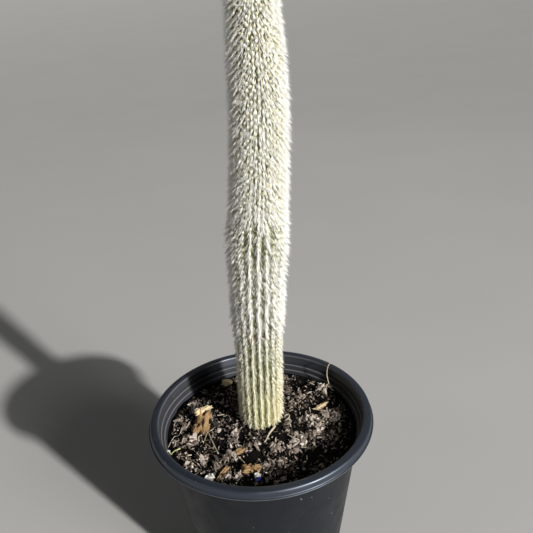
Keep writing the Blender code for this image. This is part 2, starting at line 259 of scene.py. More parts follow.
def pointMesh(name, spots):
    # loose points, each at its "place", that hold their other values as attributes
    mesh = bpy.data.meshes.new(name)
    mesh.from_pydata([spot["place"] for spot in spots], [], [])
    for label in [label for label in spots[0] if label != "place"]:
        values = [spot[label] for spot in spots]
        if isinstance(values[0], Vector):
            layer = mesh.attributes.new(label, "FLOAT_VECTOR", "POINT")
            layer.data.foreach_set("vector", [c for value in values for c in value])
        else:
            mesh.attributes.new(label, "FLOAT", "POINT").data.foreach_set("value", values)
    return mesh


def seat(piece, slot, *nodes):
    # a finished piece rides on the one body, and may stand for nodes of the frame
    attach(piece, "root")
    if nodes:
        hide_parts(*nodes)
    piece.data.calc_loop_triangles()
    print(f"{piece.name}: {len(piece.data.loop_triangles)} triangles")


def curved(t, first, last, leaving, arriving):
    # goes from first to last while t goes from 0 to 1, with the slopes that it has at its ends
    return (first * (2 * t**3 - 3 * t**2 + 1) + leaving * (t**3 - 2 * t**2 + t)
            + last * (3 * t**2 - 2 * t**3) + arriving * (t**3 - t**2))


def smoothValue(points, x):
    # value at x on a smooth curve through the (x, value) points, flat beyond its ends
    if x <= points[0][0]:
        return points[0][1]
    if x >= points[-1][0]:
        return points[-1][1]
    k = max(i for i in range(len(points) - 1) if points[i][0] <= x)

    def slope(i):
        before = points[max(i - 1, 0)]
        after = points[min(i + 1, len(points) - 1)]
        return (after[1] - before[1]) / (after[0] - before[0])

    (x0, y0), (x1, y1) = points[k], points[k + 1]
    step = x1 - x0
    return curved((x - x0) / step, y0, y1, step * slope(k), step * slope(k + 1))


def fade(x, low, high):
    t = min(max((x - low) / (high - low), 0.0), 1.0)
    return t * t * (3.0 - 2.0 * t)


def toward(angle, reach=1.0, z=0.0):
    return Vector((reach * math.cos(angle), reach * math.sin(angle), z))


def filleted(corners, steps):
    # rounds each (r, z, rounding) corner of an outline
    line = []
    for k, (r, z, rounding) in enumerate(corners):
        here = Vector((r, z))
        if not rounding or k in (0, len(corners) - 1):
            line.append(here)
            continue
        before = Vector(corners[k - 1][:2]) - here
        after = Vector(corners[k + 1][:2]) - here
        reach = min(rounding, before.length * 0.48, after.length * 0.48)
        first = here + before.normalized() * reach
        last = here + after.normalized() * reach
        for i in range(steps + 1):
            t = i / steps
            line.append(first * (1 - t) ** 2 + here * 2 * t * (1 - t) + last * t * t)
    return line


def turned(name, line, segments):
    bm = bmesh.new()
    verts = [bm.verts.new((r, 0.0, z)) for r, z in line]
    edges = [bm.edges.new(pair) for pair in zip(verts, verts[1:])]
    bmesh.ops.spin(bm, geom=verts + edges, cent=(0, 0, 0), axis=(0, 0, 1), angle=fullTurn,
                   steps=segments, use_merge=True)
    bmesh.ops.remove_doubles(bm, verts=bm.verts, dist=1e-6)
    return meshFrom(name, bm)


# Material helpers

def newFinish(name):
    material = bpy.data.materials.new(name)
    material.use_nodes = True
    return material, wire("ShaderNodeTexCoord", {}, "Object", material.node_tree)


def painted(material, tone, rough, gloss, bumps=None, strength=0.0, depth=0.0, more={}):
    # gives the material's shader its colour and other values, and its relief where it has one
    inputs = material.node_tree.nodes["Principled BSDF"].inputs
    for label, value in {
            "Base Color": tone, "Roughness": rough, "Specular IOR Level": gloss, **more}.items():
        plug(value, inputs[label])
    if bumps:
        plug(wire("ShaderNodeBump", {"Height": bumps, "Strength": strength, "Distance": depth}),
             inputs["Normal"])
    return material


def grain(where, scale, detail=2.0, roughness=0.5, stretch=None):
    if stretch:
        where = vec("MULTIPLY", where, stretch)
    return wire("ShaderNodeTexNoise",
                {"Vector": where, "Scale": scale, "Detail": detail, "Roughness": roughness})


def colours(amount, *stops):
    made = node("ShaderNodeValToRGB", {0: amount})
    ramp = made.color_ramp
    ramp.elements[0].position = stops[0][0]
    ramp.elements[1].position = stops[-1][0]
    for place, _ in stops[1:-1]:
        ramp.elements.new(place)
    for element, (_, colour) in zip(ramp.elements, stops):
        element.color = (*colour, 1.0)
    return Wire(made.outputs[0])


def mixed(amount, first, second, way="MIX"):
    return wire("ShaderNodeMix", {0: amount, 6: first, 7: second}, 2, data_type="RGBA", blend_type=way)


def attribute(material, name, output="Fac"):
    return wire("ShaderNodeAttribute", {}, output, material.node_tree, attribute_name=name)


# Nursery pot

pot = {
    "segments": 320,
    "wall": 0.0016,
    "footRadius": 0.0655,
    "footWidth": 0.0043,
    "floorUnderside": 0.004,
    "floorThickness": 0.002,
    "shoulderRadius": 0.0894,
    "lowerLedgeDrop": 0.0158,
    "upperLedgeDrop": 0.0112,
    "ledgeWidth": 0.0019,
    "ledgeFall": 0.0008,
    "mouthRadius": 0.0935,
    "mouthFlare": 0.0013,
    "crown": 0.0026,                # from the mouth to the highest ring of the rim
    "beadRadius": 0.1009,
    "skirtRadius": 0.1012,
    "skirtDrop": 0.0072,
    "lipHeight": 0.0009,
    "lipWidth": 0.0019,
    "skirtHollow": 0.0020,
    "drainHoles": 6,
    "drainRadius": 0.0055,
    "drainCircle": 0.042,
    "colour": (0.0100, 0.0108, 0.0130),
    # the rim's colour is the dark plastic plus a painted reflection of a blue sky
    "rimColourAndSkyReflection": (0.0110, 0.0135, 0.0205),
    # the inner walls are lighter than the outside: painted light on the same plastic
    "insidePaintedLightColour": (0.030, 0.031, 0.036),
    # the faint dark ring outside is painted shade under a step of the wall
    "paintedShadeRingDrop": 0.0200,              # a faint ring outside
    # dust, and also the colour of the pale lines painted as highlights along edges
    "dustAndHighlightColour": (0.30, 0.29, 0.28),
    # small nubs that the mould leaves: angle in degrees, radius, drop from the rim, length, width
    "mouldMarks": (
        (-87.4, 0.0990, 0.0009, 0.0003, 0.0010), (-88.4, 0.0975, 0.0002, 0.0004, 0.0004),
        (-100.0, 0.1019, 0.0066, 0.0006, 0.0004), (-166.0, 0.0985, 0.0004, 0.0007, 0.0004),
        (8.0, 0.0992, 0.0006, 0.0004, 0.0005), (74.0, 0.0980, 0.0003, 0.0005, 0.0004),
        (128.0, 0.1019, 0.0066, 0.0006, 0.0004),
    ),
}
pot["shoulderDrop"] = pot["lowerLedgeDrop"] + pot["ledgeFall"] + pot["wall"]


def wallRadius(z):
    rise = z / (rimHeight - pot["shoulderDrop"])
    return pot["footRadius"] + (pot["shoulderRadius"] - pot["footRadius"]) * rise


def potOutline():
    wall = pot["wall"]
    floor = pot["floorUnderside"] + pot["floorThickness"]
    mouth = pot["mouthRadius"]
    throat = mouth - pot["mouthFlare"]
    shoulder = pot["shoulderRadius"] - wall
    lowerLedge = rimHeight - pot["lowerLedgeDrop"]
    upperLedge = rimHeight - pot["upperLedgeDrop"]
    rim = potHigh.x
    lipFoot = rimHeight - pot["skirtDrop"]
    lipTop = lipFoot + pot["lipHeight"]
    skirtTop = lipFoot + pot["skirtHollow"]
    inFoot = pot["footRadius"] - pot["footWidth"]
    ledges = [
        (shoulder, lowerLedge - pot["ledgeFall"]), (shoulder + pot["ledgeWidth"], lowerLedge),
        (throat - pot["ledgeWidth"], upperLedge - pot["ledgeFall"]), (throat, upperLedge),
    ]
    corners = [(0.0, floor, 0.0), (wallRadius(floor) - wall, floor, 0.003)]
    corners += [(r, z, 0.0004) for r, z in ledges]
    corners += [
        (mouth, rimHeight - 0.0004, 0.0018), (mouth + pot["crown"], rimHeight, 0.0012),
        (pot["beadRadius"], rimHeight - 0.0002, 0.0050),
        (pot["skirtRadius"], lipTop + 0.0004, 0.0006), (rim, lipTop, 0.0003), (rim, lipFoot, 0.0006),
        (rim - pot["lipWidth"], lipFoot, 0.0003), (rim - pot["lipWidth"] - 0.0004, skirtTop, 0.0006),
        (mouth + wall, skirtTop, 0.0006),
    ]
    corners += [(r + wall, z - wall, 0.0008) for r, z in reversed(ledges)]
    corners += [
        (pot["footRadius"], 0.0, 0.0012), (inFoot, 0.0, 0.0005),
        (inFoot - 0.0008, pot["floorUnderside"], 0.0008), (0.0, pot["floorUnderside"], 0.0),
    ]
    return filleted(corners, 6)


def addMouldMarks(bm):
    for angle, radius, drop, length, width in pot["mouldMarks"]:
        place = (Matrix.Rotation(math.radians(angle), 4, "Z")
                 @ Matrix.Translation((radius, 0, rimHeight - drop)))
        size = Matrix.Diagonal((width, length, width, 1.0))
        bmesh.ops.create_uvsphere(bm, u_segments=10, v_segments=6, radius=1.0, matrix=place @ size)


def potFinish():
    material, place = newFinish("potPlastic")
    height = parts(place)[2]
    inside = attribute(material, "inside")
    outside = 1 - inside
    lipDrop = pot["skirtDrop"] - pot["lipHeight"]
    lipTop = rimHeight - lipDrop
    cloud = grain(place, 38.0, 4.0, 0.6)
    base = colours(cloud, (0.30, tuple(c * 0.85 for c in pot["colour"])),
                   (0.72, tuple(c * 1.2 for c in pot["colour"])))
    # the rim turns bluer: a painted reflection of the sky over the plastic's own dark colour
    base = mixed(ease(height, lipTop - 0.0010, lipTop), base, pot["rimColourAndSkyReflection"])
    # the inner walls turn lighter: painted light, not a different plastic
    base = mixed(inside * ease(cloud, 0.25, 0.60, 0.75, 1.0), base, pot["insidePaintedLightColour"])
    dustAndHighlight = pot["dustAndHighlightColour"]
    rubbed = ease(grain(place, 700.0, 3.0, 0.6, stretch=(1.0, 1.0, 0.06)), 0.62, 0.80)
    tone = mixed(rubbed * ease(cloud, 0.50, 0.66) * 0.08, base, dustAndHighlight)
    tone = mixed(ease(grain(place, 330.0, 1.0), 0.76, 0.82) * 0.6, tone, dustAndHighlight)
    # pale lines along the ledges, the mouth and the lip: painted highlights where these edges catch the
    # light; and the dark ring under the rim, painted shade
    for drop, side, width, amount in (
            (pot["upperLedgeDrop"], inside, 0.0005, 0.30), (pot["lowerLedgeDrop"], inside, 0.0005, 0.30),
            (0.0014, inside, 0.0007, 0.25), (lipDrop + 0.0004, outside, 0.0004, 0.20)):
        near = calc("ABSOLUTE", height - (rimHeight - drop))
        tone = mixed(ease(near, width * 0.3, width, amount, 0.0) * side, tone, dustAndHighlight)
    # the dark ring on the outer wall is painted shade under the step of the lower ledge
    near = calc("ABSOLUTE", height - (rimHeight - pot["paintedShadeRingDrop"]))
    tone = mixed(ease(near, 0.0004, 0.0016, 0.5, 0.0) * outside, tone, (0.002, 0.002, 0.003))
    rough = ease(grain(place, 60.0, 5.0), 0.3, 0.7, 0.39, 0.48)
    gloss = ease(height, lipTop - 0.0016, lipTop - 0.0008, 0.14, 1.0)
    # the blue specular tint is a painted reflection of a blue sky
    return painted(material, tone, rough, gloss, grain(place, 1600.0), 0.12, 0.0002,
                   {"Specular Tint": (0.76, 0.86, 1.0)})


def addPot():
    piece = addPiece("nurseryPot", turned("nurseryPot", potOutline(), pot["segments"]))
    bm = bmesh.new()
    middle = pot["floorUnderside"] + pot["floorThickness"] / 2
    for i in range(pot["drainHoles"]):
        angle = fullTurn * (i + 0.5) / pot["drainHoles"]
        place = Matrix.Translation(toward(angle, pot["drainCircle"], middle))
        bmesh.ops.create_cone(bm, cap_ends=True, segments=40, radius1=pot["drainRadius"],
                              radius2=pot["drainRadius"], depth=2 * pot["floorThickness"],
                              matrix=place)
    cutter = addPiece("drainCutter", meshFrom("drainCutter", bm))
    piece.modifiers.new("drain holes", "BOOLEAN").object = cutter
    settle(piece)
    discard(cutter)
    bm = bmesh.new()
    bm.from_mesh(piece.data)
    inside = bm.verts.layers.float.new("inside")
    for vert in bm.verts:
        out = vert.co.x * vert.normal.x + vert.co.y * vert.normal.y
        vert[inside] = 1.0 if out < -0.02 and vert.co.z > pot["floorUnderside"] else 0.0
    addMouldMarks(bm)
    piece.data = meshFrom("nurseryPot", bm, outwards=False)
    piece.data.set_sharp_from_angle(angle=math.radians(40))
    piece.data.materials.append(potFinish())
    seat(piece, "pot_plastic", "pot")


# Stem: where it stands and how thick it is, by height above the rim

stem = {
    "y": 0.010,
    "soilLine": rimHeight - 0.0147,
    "footDepth": 0.050,
    "footTip": 0.0130,
    "footRadius": 0.0184,
    "capStart": rimHeight + 0.372,
    "capLength": 0.036,
    "capRings": 22,
    "crest": ((-0.015, 0.0183), (0.070, 0.0187), (0.100, 0.0192), (0.137, 0.0197),
              (0.162, 0.0210), (0.190, 0.0193), (0.225, 0.0188), (0.268, 0.0183),
              (0.310, 0.0170), (0.340, 0.0151), (0.372, 0.0144)),
    "lean": ((-0.020, 0.0006), (0.0, 0.0008), (0.100, 0.0038), (0.165, 0.0072),
             (0.225, 0.0120), (0.285, 0.0150), (0.345, 0.0142), (0.410, 0.0148)),
    "ribs": 20,
    "oldFurrow": 0.0021,
    "newFurrow": 0.0012,
    "splitHeight": rimHeight + 0.182,     # above this every rib has a second one beside it
    "splitBlend": 0.020,
    "growthLine": rimHeight + 0.086,      # height where the old growth ends
    "ringStep": 0.0030,
    "sides": 200,
}


def stemAxis(z):
    return Vector((smoothValue(stem["lean"], z - rimHeight), stem["y"], z))


def crestRadius(z):
    if z < stem["soilLine"]:
        down = (stem["soilLine"] - z) / stem["footDepth"]
        return stem["footRadius"] + (stem["footTip"] - stem["footRadius"]) * down ** 1.6
    if z > stem["capStart"]:
        along = min((z - stem["capStart"]) / stem["capLength"], 1.0)
        return stem["crest"][-1][1] * math.sqrt(1.0 - along * along)
    grown = smoothValue(stem["crest"], z - rimHeight)
    return stem["footRadius"] + (grown - stem["footRadius"]) * fade(z, stem["soilLine"],
                                                                    stem["soilLine"] + 0.004)


def stemHeights():
    foot = [stem["soilLine"] - stem["footDepth"] * k for k in (1.0, 0.7, 0.4, 0.15)]
    count = round((stem["capStart"] - stem["soilLine"]) / stem["ringStep"])
    side = [stem["soilLine"] + (stem["capStart"] - stem["soilLine"]) * i / count
            for i in range(count + 1)]
    rings = stem["capRings"]
    cap = [stem["capStart"] + stem["capLength"] * math.sin(math.pi / 2 * i / rings)
           for i in range(1, rings)]
    return foot + side + cap


def columnMesh():
    bm = bmesh.new()
    around = bm.verts.layers.float.new("around")
    radial = bm.verts.layers.float_vector.new("radial")
    loops = []
    for z in stemHeights():
        loops.append([])
        for i in range(stem["sides"]):
            angle = fullTurn * i / stem["sides"]
            out = toward(angle)
            vert = bm.verts.new(stemAxis(z) + out * crestRadius(z))
            vert[around] = angle
            vert[radial] = out
            loops[-1].append(vert)
    tip = bm.verts.new(stemAxis(stem["capStart"] + stem["capLength"]))
    addSides(bm, [*loops, [tip]])
    bm.faces.new(list(reversed(loops[0])))
    return meshFrom("stem", bm)


def ribTree(geometry, ribs, oldFurrow, newFurrow, splitHeight, splitBlend, soilLine, capStart,
            capLength, finish):
    place = position(geometry)
    height = parts(place)[2]
    around = reading(geometry, "around")
    split = ease(height, splitHeight - splitBlend, splitHeight + splitBlend)
    broad = calc("ABSOLUTE", calc("COSINE", around * ribs / 2))
    narrow = calc("ABSOLUTE", calc("COSINE", around * ribs))
    furrow = 1 - (broad + (narrow - broad) * split)
    depth = oldFurrow + (newFurrow - oldFurrow) * split
    depth = depth * ease(height, soilLine - 0.012, soilLine)
    depth = depth * ease(height, capStart, capStart + capLength, 1.0, 0.0)
    depth = depth * (0.75 + 0.5 * grain(place, 160.0))
    inward = vec("SCALE", reading(geometry, "radial", "FLOAT_VECTOR"), 0 - depth * furrow)
    return finished(shifted(geometry, inward), "furrow", furrow, "POINT", finish)


def stemFinish():
    material, place = newFinish("stemSkin")
    across, _, height = parts(place)
    skin = colours(grain(place, 240.0, 3.0, 0.6),
                   (0.30, (0.070, 0.078, 0.026)), (0.50, (0.130, 0.135, 0.050)),
                   (0.72, (0.210, 0.200, 0.095)))
    # the furrows are darker and greener: partly the skin's own colour, partly painted shade in the creases
    tone = mixed(attribute(material, "furrow") * 0.7, skin, (0.060, 0.080, 0.026))
    old = ease(height, rimHeight + 0.085, rimHeight - 0.005) * ease(grain(place, 30.0), 0.30, 0.60)
    tone = mixed(old * 0.8, tone, (0.380, 0.370, 0.170))
    # the right side near the foot turns lighter and browner: painted sunlight on the side the key lamp
    # comes from
    paintedSunlitSide = ease(across, 0.004, 0.017) * ease(height, rimHeight + 0.050, rimHeight - 0.010)
    tone = mixed(paintedSunlitSide * 0.7, tone, (0.400, 0.300, 0.130))
    band = ease(height, stem["growthLine"] - 0.022, stem["growthLine"] - 0.004)
    band = band * ease(height, stem["growthLine"] + 0.010, stem["growthLine"] - 0.002)
    cork = band * ease(grain(place, 55.0, 3.0), 0.46, 0.58)
    tone = mixed(cork * 0.8, tone, (0.150, 0.085, 0.045))
    return painted(material, tone, 0.6, 0.25, grain(place, 1500.0, 3.0), 0.35, 0.0004)


def addStem():
    form = {key: stem[key] for key in ("ribs", "oldFurrow", "newFurrow", "splitHeight", "splitBlend",
                                       "soilLine", "capStart", "capLength")}
    seat(grown("stem", columnMesh(), ribTree, {**form, "finish": stemFinish()}), "silver_cactus", "cactus")


# Areoles: where the wool pads and bristles grow, as loose points that hold their own directions

areoles = {
    "first": 0.0012,                # lowest row above the soil line
    # by height above the rim: size of the pads, distance between rows, and the bristles' number,
    # length and angle from the stem's surface normal
    "padSize": ((-0.015, 0.44), (0.075, 0.54), (0.120, 0.78), (0.200, 1.0)),
    "pitch": ((-0.015, 0.0031), (0.040, 0.0035), (0.075, 0.0043), (0.110, 0.0046),
              (0.160, 0.0050), (0.372, 0.0051)),
    "crowd": ((-0.015, 1.35), (0.072, 1.45), (0.092, 2.3), (0.130, 2.1), (0.182, 1.5), (0.210, 1.0)),
    "length": ((-0.015, 0.0066), (0.070, 0.0072), (0.096, 0.0090), (0.150, 0.0112),
               (0.200, 0.0110), (0.260, 0.0103), (0.372, 0.0094), (0.408, 0.0074)),
    "lean": ((-0.015, 48.0), (0.068, 46.0), (0.092, 42.0), (0.200, 41.0), (0.340, 38.0),
             (0.372, 33.0), (0.392, 20.0), (0.404, 4.0), (0.408, 0.0)),
    "sway": 0.13,                   # how far whole tufts turn aside and nod, in radians
    "nod": 0.07,
    "capRows": 12,
    "jitter": 0.00035,
    "seed": 5,
}


def areoleAt(z, angle, rng):
    # where an areole is, which way it faces, and how its pad and bristles are
    slope = (crestRadius(z + 0.0005) - crestRadius(z - 0.0005)) / 0.001
    out = toward(angle)
    up = (out * slope + Vector((0, 0, 1))).normalized()
    if z > stem["capStart"] + stem["capLength"] - 0.001:
        up = -out
    spot = {"place": stemAxis(z) + out * crestRadius(z),
            "outward": toward(angle + fullTurn / 4).cross(up).normalized(), "upward": up}
    for label in ("padSize", "crowd", "length", "lean"):
        spot[label] = smoothValue(areoles[label], z - rimHeight)
    spot["lean"] = math.radians(spot["lean"]) + rng.gauss(0.0, areoles["nod"])
    spot["sway"] = rng.gauss(0.0, areoles["sway"])
    return spot


def allAreoles():
    rng = random.Random(areoles["seed"])
    tufts = random.Random(areoles["seed"] + 1)
    spots = []
    z = stem["soilLine"] + areoles["first"]
    columns = 2 * stem["ribs"]
    while z < stem["capStart"]:
        pitch = smoothValue(areoles["pitch"], z - rimHeight)
        split = fade(z, stem["splitHeight"] - stem["splitBlend"],
                     stem["splitHeight"] + stem["splitBlend"])
        for column in range(columns):
            shift = 0.5
            if column % 2 == 0:
                shift *= (column // 2 % 2) * (1.0 - split)
            elif rng.random() > (split - 0.35) * 3.0:
                continue
            up = pitch * shift + rng.uniform(-1, 1) * areoles["jitter"]
            aside = rng.uniform(-1, 1) * areoles["jitter"] / crestRadius(z)
            spots.append(areoleAt(z + up, fullTurn * column / columns + aside, tufts))
        z += pitch
    for row in range(areoles["capRows"]):
        for k in range(columns):
            place = row + 0.25 + 0.5 * (k % 2) + rng.uniform(-0.15, 0.15)
            along = math.pi / 2 * place / areoles["capRows"]
            narrow = math.cos(along)
            every = 1 if narrow > 0.6 else 2 if narrow > 0.3 else 4 if narrow > 0.15 else 8
            if k % every == 0:
                z = stem["capStart"] + min(stem["capLength"] * math.sin(along), stem["capLength"] - 0.0002)
                spots.append(areoleAt(z, fullTurn * (k + rng.uniform(-0.2, 0.2)) / columns, tufts))
    return spots


# Wool pads

wool = {"width": 0.0023, "height": 0.0032, "bulge": 0.0017, "seed": 3}


def padShape():
    # a plain ball, a unit wide, that the tree makes flat
    bm = bmesh.new()
    bmesh.ops.create_uvsphere(bm, u_segments=6, v_segments=4, radius=0.5)
    return addPiece("padShape", meshFrom("padShape", bm))


def woolTree(geometry, width, height, bulge, seed, pad, finish):
    turn = facing(reading(geometry, "outward", "FLOAT_VECTOR"),
                  reading(geometry, "upward", "FLOAT_VECTOR"))
    size = draw(0.75, 1.15, seed) * reading(geometry, "padSize")
    return copied(pointsOf(geometry), shapeOf(pad), turn,
                  joined(height * size, width * size, bulge * 2 * size), draw(0.0, 1.0, seed + 1), finish)


def woolFinish():
    material, place = newFinish("areoleWool")
    base = colours(attribute(material, "tint"), (0.0, (0.74, 0.67, 0.42)), (0.5, (0.88, 0.83, 0.60)),
                   (1.0, (0.94, 0.91, 0.76)))
    tone = mixed(ease(grain(place, 1800.0), 0.35, 0.65) * 0.35, base, (0.33, 0.29, 0.14))
    return painted(material, tone, 0.9, 0.1, grain(place, 2600.0), 0.6, 0.0003,
                   {"Sheen Weight": 0.4, "Sheen Roughness": 0.5})


def addWool(spots):
    pad = padShape()
    piece = grown("areoleWool", pointMesh("areoleWool", spots), woolTree,
                  {**wool, "pad": pad, "finish": woolFinish()})
    discard(pad)
    seat(piece, "silver_cactus")


# Bristles

bristles = {
    "modelLength": 0.008,           # length of the one bristle that is copied
    "modelThickness": 0.0003,
    "bend": 0.0009,                 # how far its tip hangs
    "root": 0.0005,                 # how deep it starts in the pad
    # number at one areole, length and angle against the areole's own, how far they turn to the
    # sides and scatter up and down in radians, how far from the pad's middle they can start,
    # thickness against the model's, and what that is multiplied by on the old growth
    "kinds": {
        "locks": {"count": 4, "length": 1.0, "lean": 1.0, "spread": 0.15, "scatter": 0.09,
                  "pad": 0.00025, "thickness": 0.90, "foot": 0.75, "seed": 20},
        "fans": {"count": 4, "length": 0.95, "lean": 1.0, "spread": 0.6, "scatter": 0.15,
                 "pad": 0.0006, "thickness": 1.0, "foot": 0.80, "seed": 60},
        "hairs": {"count": 5, "length": 0.85, "lean": 1.15, "spread": 1.4, "scatter": 0.20,
                  "pad": 0.0006, "thickness": 0.80, "foot": 1.1, "seed": 40},
    },
    "unrest": 0.16,                 # how far whole patches of bristles turn aside
    "patches": 120.0,
}


def bristleShape(name, stops):
    # a three-sided bristle that grows along +Z and hangs towards +X, with its length in "along";
    # it is pointed at both ends, and the stops are where it has a ring of corners
    bm = bmesh.new()
    along = bm.verts.layers.float.new("along")

    def addPoint(t, angle, radius):
        vert = bm.verts.new((bristles["bend"] * t * t + radius * math.cos(angle),
                             radius * math.sin(angle), bristles["modelLength"] * t))
        vert[along] = t
        return vert

    loops = [[addPoint(t, fullTurn * k / 3, bristles["modelThickness"] / 2 * (1.15 - 0.45 * t))
              for k in range(3)] for t in stops]
    addSides(bm, [[addPoint(0.0, 0.0, 0.0)], *loops, [addPoint(1.0, 0.0, 0.0)]])
    return addPiece(name, meshFrom(name, bm))


def bristleTree(geometry, modelLength, root, unrest, patches, count, length, lean, spread, scatter,
                pad, thickness, foot, seed, bristle, finish):
    tuft = wire("GeometryNodeDuplicateElements", {
        "Geometry": pointsOf(geometry), "Amount": count * reading(geometry, "crowd")}, domain="POINT")
    outward = reading(geometry, "outward", "FLOAT_VECTOR")
    upward = reading(geometry, "upward", "FLOAT_VECTOR")
    across = vec("CROSS_PRODUCT", outward, upward)
    wind = wire("ShaderNodeTexNoise", {"Vector": position(geometry), "Scale": patches, "Detail": 1.0},
                "Color")
    aside, nod, _ = [(part - 0.5) * unrest for part in parts(wind)]
    turn = draw(-1.0, 1.0, seed) * spread + reading(geometry, "sway") + aside * 2
    lean = lean * reading(geometry, "lean") + draw(-1.0, 1.0, seed + 2) * scatter + nod
    sideways = total((upward, 0 - calc("COSINE", turn)), (across, calc("SINE", turn)))
    heading = total((outward, calc("COSINE", lean)), (sideways, calc("SINE", lean)))
    offset = total((across, draw(-1.0, 1.0, seed + 3) * pad), (upward, draw(-1.0, 1.0, seed + 4) * pad),
                   (outward, 0 - root))
    grownLength = reading(geometry, "length")
    girth = thickness * ease(grownLength, 0.0070, 0.0100, foot, 1.0)
    length = length * grownLength * draw(0.84, 1.08, seed + 5)
    return copied(shifted(tuft, offset), shapeOf(bristle), facing(heading, vec("SCALE", upward, -1.0)),
                  joined(girth, girth, length / modelLength), draw(0.0, 1.0, seed + 6), finish)


def bristleFinish(name, dull, middle, bright):
    material, place = newFinish(name)
    white = colours(attribute(material, "tint"), (0.0, dull), (0.45, middle), (1.0, bright))
    root = ease(attribute(material, "along"), 0.05, 0.60, 0.75, 0.0)
    tone = mixed(root, white, (0.70, 0.66, 0.42))
    aged = ease(parts(place)[2], rimHeight + 0.100, rimHeight - 0.005)
    tone = mixed(aged * 0.8, tone, (0.95, 0.91, 0.66), way="MULTIPLY")
    return painted(material, tone, 0.4, 0.5)


def addBristles(spots):
    long = bristleShape("longShape", (0.15, 0.70))
    short = bristleShape("shortShape", (0.55,))
    spineWhite = bristleFinish("spineWhite", (0.90, 0.88, 0.80), (0.96, 0.955, 0.925), (0.99, 0.99, 0.985))
    hairWhite = bristleFinish("hairWhite", (0.74, 0.73, 0.70), (0.89, 0.885, 0.86), (0.97, 0.97, 0.96))
    shared = {key: bristles[key] for key in ("modelLength", "root", "unrest", "patches")}
    for name, shape, material in (("locks", long, spineWhite), ("fans", short, spineWhite),
                                  ("hairs", short, hairWhite)):
        seat(grown(name, pointMesh(name, spots), bristleTree, {
            **shared, **bristles["kinds"][name], "bristle": shape, "finish": material}),
            "silver_cactus")
    discard(long, short)


# Potting mix

mix = {
    "drop": 0.0192,
    "mound": 0.0045,
    "moundReach": 0.034,
    "lump": 0.0030,
    "lumpSize": 0.013,
    "crumb": 0.0016,
    "crumbSize": 0.0035,
    "calmAtWall": 0.010,            # over what distance the lumps and crumbs grow
    "calmAtStem": 0.008,
    "crumbsAtWall": 0.004,
    "holeRadius": 0.0186,
    "rings": 64,
    "sides": 220,
    "gap": 0.0003,
}
mix["edge"] = wallRadius(rimHeight - mix["drop"]) - pot["wall"] - mix["gap"]
stemFoot = stemAxis(stem["soilLine"])


def mixHeight(x, y, fine=1.0):
    fromStem = max(math.hypot(x - stemFoot.x, y - stemFoot.y) - mix["holeRadius"], 0.0)
    fromWall = mix["edge"] - math.hypot(x, y)
    calm = fade(fromWall, 0.0, mix["calmAtWall"]) * fade(fromStem, 0.0, mix["calmAtStem"])
    mound = mix["mound"] * math.exp(-((fromStem / mix["moundReach"]) ** 2))
    lumps = mix["lump"] * noise.noise(Vector((x, y, 0.0)) / mix["lumpSize"]) * calm
    crumbs = mix["crumb"] * noise.fractal(Vector((x, y, 0.3)) / mix["crumbSize"], 0.8, 2.2, 3)
    return (rimHeight - mix["drop"] + mound + lumps
            + crumbs * fine * fade(fromWall, 0.0, mix["crumbsAtWall"]))


def onMix(x, y, up):
    return Vector((x, y, mixHeight(x, y, 0.0) + up))


def mixMesh():
    bm = bmesh.new()
    angles = [fullTurn * i / mix["sides"] for i in range(mix["sides"])]
    loops = []

    def addRing(center, radius, z=None):
        # a ring at one height, or without a height on the mix's own top
        places = [center + toward(a, radius) for a in angles]
        loops.append([bm.verts.new((x, y, mixHeight(x, y) if z is None else z)) for x, y, _ in places])

    pit = stem["soilLine"] - stem["footDepth"]
    addRing(stemAxis(pit), stem["footTip"] + 0.0004, pit - mix["gap"])
    addRing(stemFoot, mix["holeRadius"], stem["soilLine"] - 0.010)
    for i in range(mix["rings"] + 1):
        t = i / mix["rings"]
        addRing(stemFoot * (1 - t), (1 - t) * mix["holeRadius"] + t * mix["edge"])
    bottom = pot["floorUnderside"] + pot["floorThickness"] + mix["gap"]
    addRing(Vector(), wallRadius(bottom + 0.003) - pot["wall"] - mix["gap"], bottom + 0.003)
    addRing(Vector(), wallRadius(bottom) - pot["wall"] - 0.003, bottom)
    addSides(bm, loops)
    bm.faces.new(loops[0])
    bm.faces.new(loops[-1])
    return meshFrom("pottingMix", bm)


def peatAndGapShadeFinish():
    material, place = newFinish("peat")
    # the peat is nearly black: partly its own dark colour, partly painted shade for the gaps between the
    # chips
    tone = colours(grain(place, 420.0, 5.0, 0.7), (0.40, (0.0020, 0.0016, 0.0014)),
                   (0.58, (0.0040, 0.0032, 0.0028)), (0.76, (0.0180, 0.0140, 0.0110)))
    return painted(material, tone, 0.95, 0.1, grain(place, 700.0, 6.0, 0.75), 1.0, 0.0012)


# Litter on the mix: scattered bark, crumbs, grains and fibres

